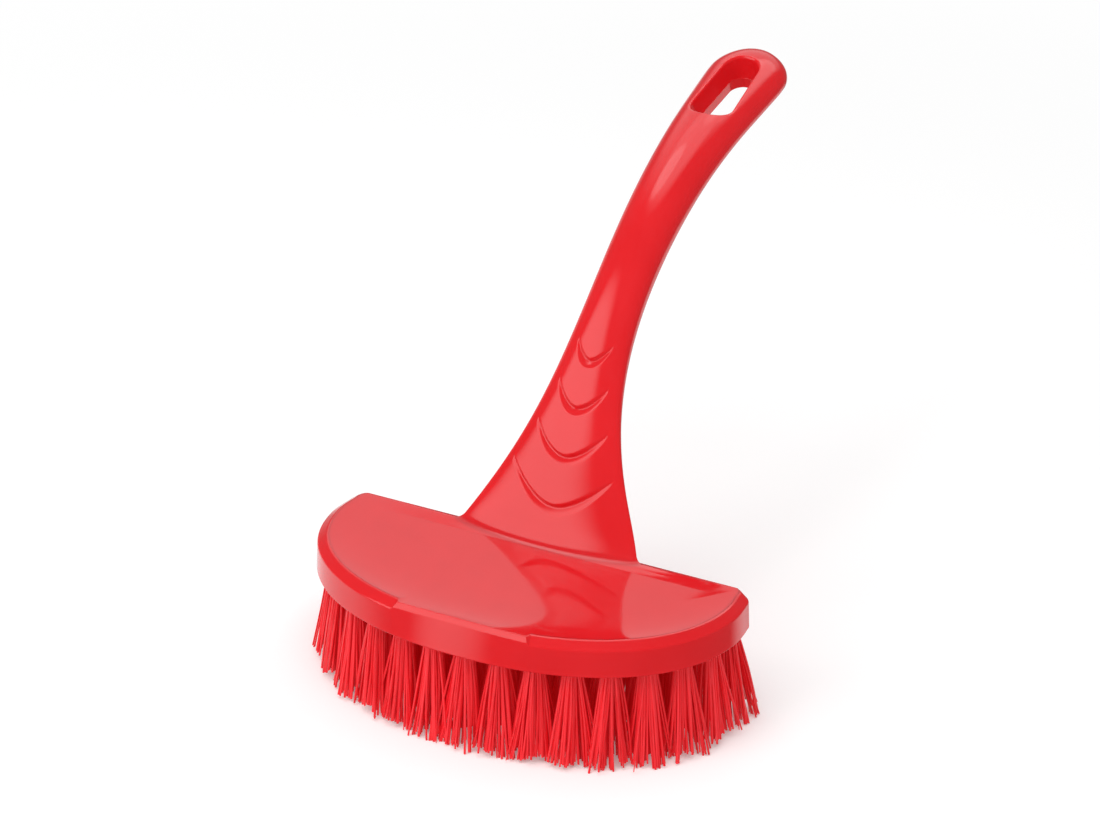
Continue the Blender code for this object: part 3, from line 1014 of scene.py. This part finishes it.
# Soft panels that only reflections see: the way to each one from the brush, as degrees round from
# straight behind and degrees up, then how far its edge is from its middle and how soft, and its strength
glowSettings = [
    {"name": "backPanel", "round": -24, "up": 46, "size": 34, "soft": 14, "strength": 1.05},
    {"name": "backPanelCore", "round": 4, "up": 50, "size": 15, "soft": 10, "strength": 2.2},
    {"name": "backPanelHotSpot", "round": -14, "up": 54, "size": 11, "soft": 10, "strength": 2.6},
    {"name": "overheadPanel", "round": -35, "up": 67, "size": 20, "soft": 12, "strength": 1.75},
    {"name": "overheadHotSpot", "round": -66, "up": 66, "size": 9, "soft": 6, "strength": 3.0},
    {"name": "floorBehindGlow", "round": -28, "up": -30, "size": 24, "soft": 20, "strength": 0.95},
    {"name": "frontLeftPanelHigh", "round": -141, "up": 34, "size": 21, "soft": 12, "strength": 2.3},
    {"name": "frontLeftPanelLow", "round": -141, "up": 10, "size": 21, "soft": 12, "strength": 2.2},
    {"name": "leftFloorGlow", "round": -78, "up": -30, "size": 33, "soft": 26, "strength": 1.1},
    {"name": "rightFloorGlow", "round": 24, "up": -34, "size": 14, "soft": 12, "strength": 1.1},
]


def makeFloor():
    s = studioSettings
    deselectAll()
    bpy.ops.mesh.primitive_plane_add(size=s["floorSize"], location=(0, 0, 0))
    floor = bpy.context.object
    floor.name = "studioFloor"
    material, nodes, links = addMaterial("paleFloor")
    nodes.remove(nodes["Principled BSDF"])
    paint = nodes.new('ShaderNodeBsdfDiffuse')
    paint.inputs["Color"].default_value = (s["floorPaint"],) * 3 + (1,)
    glow = nodes.new('ShaderNodeEmission')
    lightPath = nodes.new('ShaderNodeLightPath')
    glowStrength = nodes.new('ShaderNodeMath')
    glowStrength.operation = 'MULTIPLY'
    glowStrength.inputs[1].default_value = s["floorGlow"]
    links.new(lightPath.outputs["Is Camera Ray"], glowStrength.inputs[0])
    links.new(glowStrength.outputs["Value"], glow.inputs["Strength"])
    near = nodes.new('ShaderNodeAddShader')
    links.new(paint.outputs["BSDF"], near.inputs[0])
    links.new(glow.outputs["Emission"], near.inputs[1])
    white = nodes.new('ShaderNodeEmission')
    white.inputs["Strength"].default_value = 1
    place = nodes.new('ShaderNodeTexCoord')
    length = nodes.new('ShaderNodeVectorMath')
    length.operation = 'LENGTH'
    links.new(place.outputs["Object"], length.inputs[0])
    fade = nodes.new('ShaderNodeMapRange')
    fade.interpolation_type = 'SMOOTHSTEP'
    fade.inputs["From Min"].default_value = s["fadeStart"]
    fade.inputs["From Max"].default_value = s["fadeEnd"]
    links.new(length.outputs["Value"], fade.inputs["Value"])
    seen = nodes.new('ShaderNodeMath')
    seen.operation = 'MULTIPLY'
    links.new(fade.outputs["Result"], seen.inputs[0])
    links.new(lightPath.outputs["Is Camera Ray"], seen.inputs[1])
    mix = nodes.new('ShaderNodeMixShader')
    links.new(seen.outputs["Value"], mix.inputs["Fac"])
    links.new(near.outputs["Shader"], mix.inputs[1])
    links.new(white.outputs["Emission"], mix.inputs[2])
    links.new(mix.outputs["Shader"], nodes["Material Output"].inputs["Surface"])
    floor.data.materials.append(material)
    floor.visible_glossy = False


def makeSurround():
    # White to the camera and an even fill to the object. Reflections see it dark, with soft panels.
    s = studioSettings
    world = bpy.data.worlds.new("studioWorld")
    bpy.context.scene.world = world
    world.use_nodes = True
    nodes, links = world.node_tree.nodes, world.node_tree.links
    background = nodes["Background"]
    background.inputs["Color"].default_value = (1, 1, 1, 1)
    direction = nodes.new('ShaderNodeTexCoord')

    def panel(glow):
        turn, rise = math.radians(glow["round"]), math.radians(glow["up"])
        facing = nodes.new('ShaderNodeVectorMath')
        facing.operation = 'DOT_PRODUCT'
        facing.inputs[1].default_value = (math.sin(turn) * math.cos(rise), math.cos(turn) * math.cos(rise),
                                          math.sin(rise))
        links.new(direction.outputs["Generated"], facing.inputs[0])
        step = nodes.new('ShaderNodeMapRange')
        step.label = glow["name"]
        step.interpolation_type = 'SMOOTHSTEP'
        step.inputs["From Min"].default_value = math.cos(math.radians(glow["size"] + glow["soft"] / 2))
        step.inputs["From Max"].default_value = math.cos(math.radians(glow["size"] - glow["soft"] / 2))
        step.inputs["To Min"].default_value = s["dark"]
        step.inputs["To Max"].default_value = glow["strength"]
        links.new(facing.outputs["Value"], step.inputs["Value"])
        return step.outputs["Result"]

    gloss = panel(glowSettings[0])
    for glow in glowSettings[1:]:
        brighter = nodes.new('ShaderNodeMath')
        brighter.operation = 'MAXIMUM'
        links.new(gloss, brighter.inputs[0])
        links.new(panel(glow), brighter.inputs[1])
        gloss = brighter.outputs["Value"]
    lightPath = nodes.new('ShaderNodeLightPath')
    pickGloss = nodes.new('ShaderNodeMix')
    pickGloss.inputs["A"].default_value = s["ambient"]
    links.new(lightPath.outputs["Is Glossy Ray"], pickGloss.inputs["Factor"])
    links.new(gloss, pickGloss.inputs["B"])
    pickCamera = nodes.new('ShaderNodeMix')
    pickCamera.inputs["B"].default_value = 1
    links.new(lightPath.outputs["Is Camera Ray"], pickCamera.inputs["Factor"])
    links.new(pickGloss.outputs["Result"], pickCamera.inputs["A"])
    links.new(pickCamera.outputs["Result"], background.inputs["Strength"])


panelSettings = [
    {"name": "frontLeftPanel", "azimuth": -28, "elevation": 30, "distance": 1.6,
     "width": 1.0, "height": 1.0, "power": 5.4},
    {"name": "topPanel", "azimuth": 10, "elevation": 68, "distance": 1.8,
     "width": 1.4, "height": 1.4, "power": 14.5},
]


def addPanel(settings):
    azimuth = math.radians(settings["azimuth"])
    elevation = math.radians(settings["elevation"])
    aim = Vector((0, 0, studioSettings["panelAim"]))
    place = wayTo(azimuth, elevation) * settings["distance"] + aim
    deselectAll()
    bpy.ops.object.light_add(type='AREA', location=place, rotation=(math.pi / 2 - elevation, 0, azimuth))
    panel = bpy.context.object
    panel.name = settings["name"]
    panel.data.shape = 'RECTANGLE'
    panel.data.size = settings["width"]
    panel.data.size_y = settings["height"]
    panel.data.energy = settings["power"]
    panel.visible_glossy = False


makeFloor()
makeSurround()
for settings in panelSettings:
    addPanel(settings)
bpy.context.scene.view_settings.view_transform = 'Standard'
print("Studio lit")
